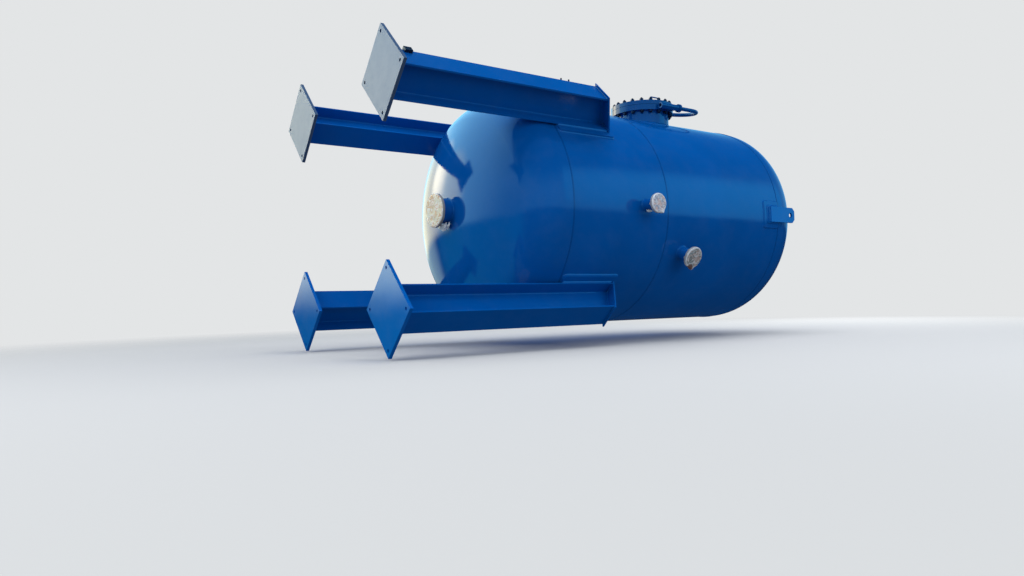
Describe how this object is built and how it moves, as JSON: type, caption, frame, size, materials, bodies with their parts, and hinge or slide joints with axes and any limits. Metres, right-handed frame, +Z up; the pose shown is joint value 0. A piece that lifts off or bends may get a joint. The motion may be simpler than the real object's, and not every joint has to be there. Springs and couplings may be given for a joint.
{
  "type": "mixed bed ion exchange vessel",
  "caption": "Upright steel pressure vessel with dished ends on wide-flange legs, with a davit-hung manway, flanged nozzles and lifting lugs, for ion exchange resin.",
  "frame": {"origin": "on the vessel's axis, level with the underside of the base plates", "axes": "+Z up along the vessel's axis; -Y towards the manway; +X towards the side nozzles, one lifting lug and the davit post"},
  "size_m": [2.8794, 3.0007, 5.9632],
  "materials": {
    "blue_paint": "gloss",
    "shipping_cover": "satin film",
    "gasket_rubber": "matt",
    "fastener_steel": "black oxide",
    "dark_metal": "matt"
  },
  "bodies": {
    "vessel": {"bottom_head": "blue_paint", "top_head": "blue_paint", "lower_shell_rear": "blue_paint", "lower_shell_back": "blue_paint", "lower_shell_manway": "blue_paint", "lower_shell_front": "blue_paint", "upper_shell_rear": "blue_paint", "upper_shell_back": "blue_paint", "upper_shell_manway": "blue_paint", "upper_shell_front": "blue_paint", "side_nozzle_low": "blue_paint", "side_nozzle_high": "blue_paint", "handhole_nozzle": "blue_paint", "handhole_gasket": "gasket_rubber", "handhole_blind": "blue_paint", "bottom_nozzle": "blue_paint", "top_nozzle": "blue_paint", "side_nozzle_low_cover": "shipping_cover", "side_nozzle_high_cover": "shipping_cover", "bottom_nozzle_cover": "shipping_cover", "top_nozzle_cover": "shipping_cover", "leg_front_manway": "blue_paint", "leg_front_rear": "blue_paint", "leg_back_rear": "blue_paint", "leg_back_manway": "blue_paint", "base_plates": "blue_paint", "leg_caps": "blue_paint", "leg_wear_pads": "blue_paint", "grounding_block": "dark_metal", "manway_neck": "blue_paint", "manway_flange": "blue_paint", "manway_gasket": "gasket_rubber", "davit_sleeve": "blue_paint", "lifting_lug_front": "blue_paint", "lug_pad_front": "blue_paint", "lug_doubler_front": "blue_paint", "lifting_lug_back": "blue_paint", "lug_pad_back": "blue_paint", "lug_doubler_back": "blue_paint"},
    "manway_door": {"manway_cover": "blue_paint", "cover_handles": "blue_paint", "davit_arm": "blue_paint", "hanger_eye": "fastener_steel", "cover_ears": "blue_paint"}
  },
  "joints": [
    {"name": "manway_davit", "type": "hinge", "parent": "vessel", "child": "manway_door", "pos_m": [0.43, -1.395, 4.1], "axis": [0, 0, 1], "range_deg": [0, 110]}
  ]
}
